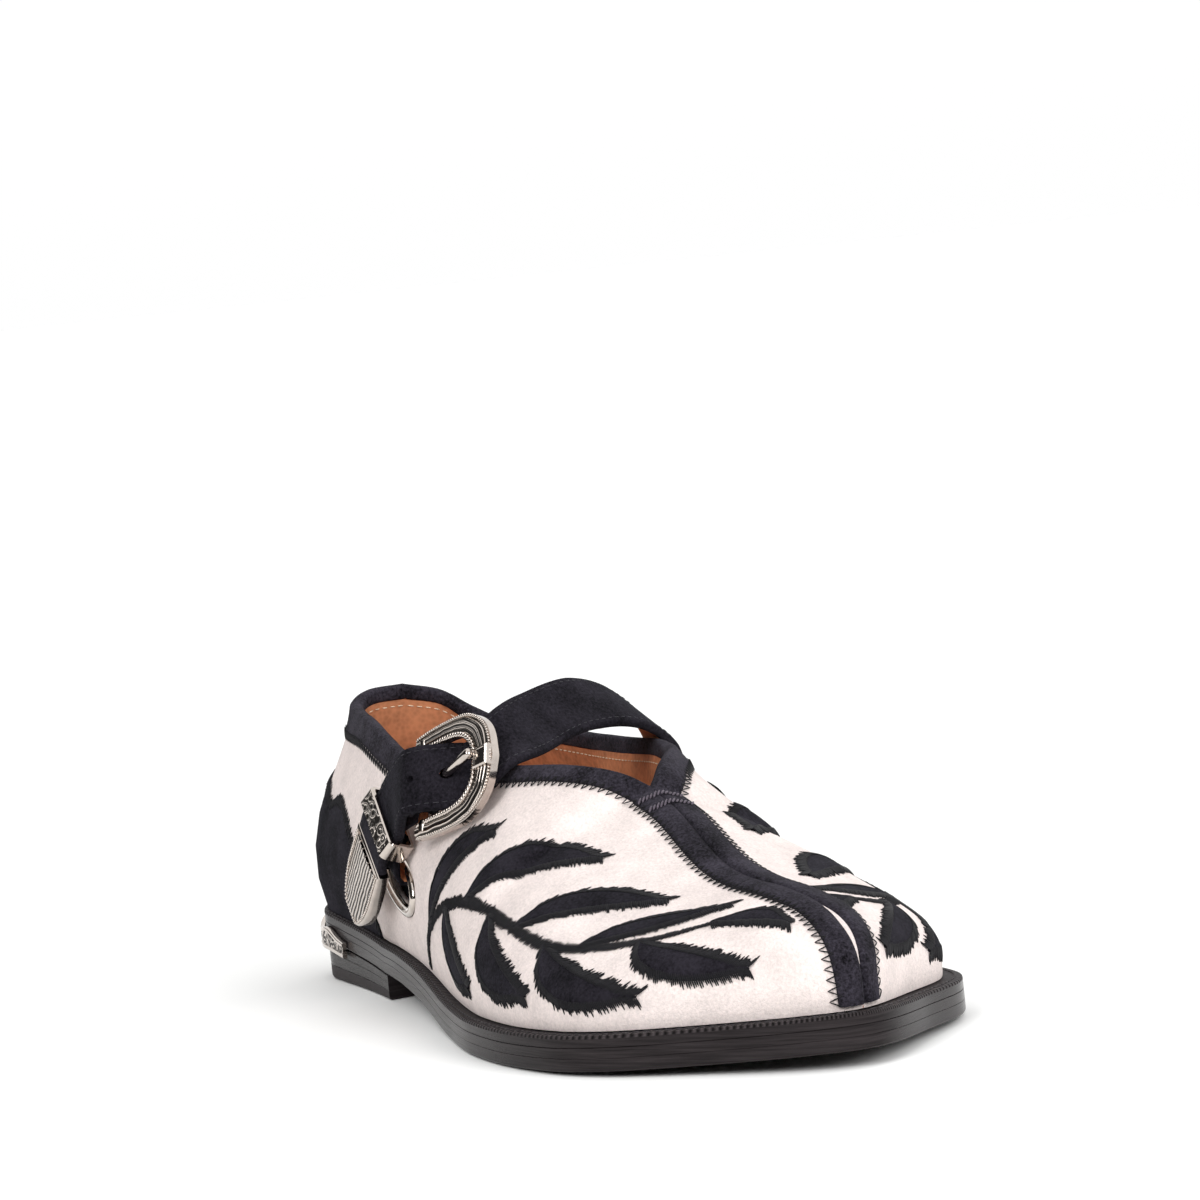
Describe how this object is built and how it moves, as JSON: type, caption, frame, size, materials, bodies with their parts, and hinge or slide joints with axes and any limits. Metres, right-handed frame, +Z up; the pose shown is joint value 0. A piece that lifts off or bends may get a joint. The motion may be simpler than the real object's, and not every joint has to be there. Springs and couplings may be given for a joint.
{
  "type": "strap loafer",
  "caption": "Slip-on suede shoe with a front seam, welted leather sole, low heel and an instep strap closed by a horseshoe buckle set.",
  "frame": {"origin": "on the floor under the middle of the shoe's box", "axes": "+X towards the toe, +Y towards the wearer's inner (medial) side, +Z up"},
  "size_m": [0.2816, 0.1008, 0.074],
  "materials": {
    "sole_leather": "black waxed sole edge, semi-gloss",
    "welt_leather": "black waxed welt, satin",
    "heel_stack": "black waxed heel stack, semi-gloss",
    "lining_leather": "tan suede lining, matte",
    "white_suede": "off-white suede, matte nap",
    "black_suede": "black suede, matte nap",
    "nickel_silver": "polished nickel silver with dark antiquing"
  },
  "bodies": {
    "root": {"outsole": "sole_leather", "welt": "welt_leather", "heel": "heel_stack", "insole": "lining_leather", "upper": "white_suede", "strap": "black_suede", "buckle_strap": "black_suede", "buckle_frame": "nickel_silver", "buckle_prong": "nickel_silver", "keeper": "nickel_silver", "strap_tip": "nickel_silver", "eyelet": "nickel_silver", "heel_plate": "nickel_silver"}
  },
  "joints": []
}
